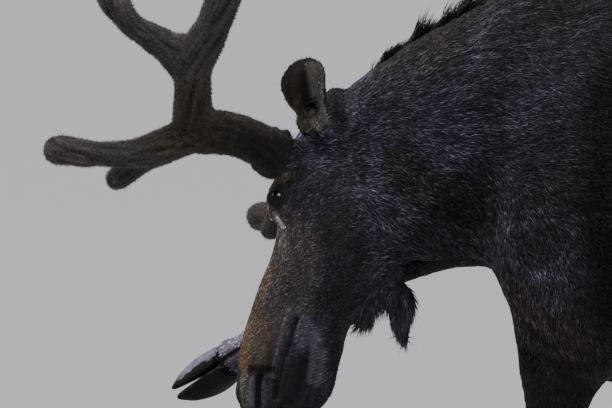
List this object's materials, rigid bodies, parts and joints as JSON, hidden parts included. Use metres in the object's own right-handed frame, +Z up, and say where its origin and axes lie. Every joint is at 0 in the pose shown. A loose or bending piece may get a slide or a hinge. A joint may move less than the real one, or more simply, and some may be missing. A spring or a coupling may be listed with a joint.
{
  "type": "moose",
  "caption": "Life-size bull moose in velvet, still, head lowered, right foreleg lifted forward, standing on three hooves.",
  "frame": {"origin": "centre of the overall box in X and Y, on the floor", "axes": "+X forward towards the head, +Y to the animal's left, +Z up"},
  "size_m": [2.413, 1.1418, 1.964],
  "materials": {
    "coat": "short dense fur, near black brown",
    "leg_coat": "short grey brown fur",
    "velvet": "matte fuzzy antler velvet",
    "hoof": "dark satin horn",
    "eye": "wet gloss"
  },
  "bodies": {
    "root": {"trunk": "coat", "tail": "coat", "neck": "coat", "head": "coat", "bell": "coat", "lower_jaw": "coat", "ear_left": "coat", "ear_right": "coat", "eye_left": "eye", "eye_right": "eye", "antler_left_beam": "velvet", "antler_left_front_tine": "velvet", "antler_left_lower_tine": "velvet", "antler_left_stem": "velvet", "antler_left_front_branch": "velvet", "antler_left_rear_branch": "velvet", "antler_right_beam": "velvet", "antler_right_front_tine": "velvet", "antler_right_lower_tine": "velvet", "antler_right_stem": "velvet", "antler_right_front_branch": "velvet", "antler_right_rear_branch": "velvet", "foreleg_left": "coat", "foreleg_left_cannon": "leg_coat", "foreleg_left_claw_outer": "hoof", "foreleg_left_dewclaw_outer": "hoof", "foreleg_left_claw_inner": "hoof", "foreleg_left_dewclaw_inner": "hoof", "foreleg_right": "coat", "foreleg_right_cannon": "leg_coat", "foreleg_right_claw_outer": "hoof", "foreleg_right_dewclaw_outer": "hoof", "foreleg_right_claw_inner": "hoof", "foreleg_right_dewclaw_inner": "hoof", "hindleg_left": "coat", "hindleg_left_cannon": "leg_coat", "hindleg_left_claw_outer": "hoof", "hindleg_left_dewclaw_outer": "hoof", "hindleg_left_claw_inner": "hoof", "hindleg_left_dewclaw_inner": "hoof", "hindleg_right": "coat", "hindleg_right_cannon": "leg_coat", "hindleg_right_claw_outer": "hoof", "hindleg_right_dewclaw_outer": "hoof", "hindleg_right_claw_inner": "hoof", "hindleg_right_dewclaw_inner": "hoof"}
  },
  "joints": []
}
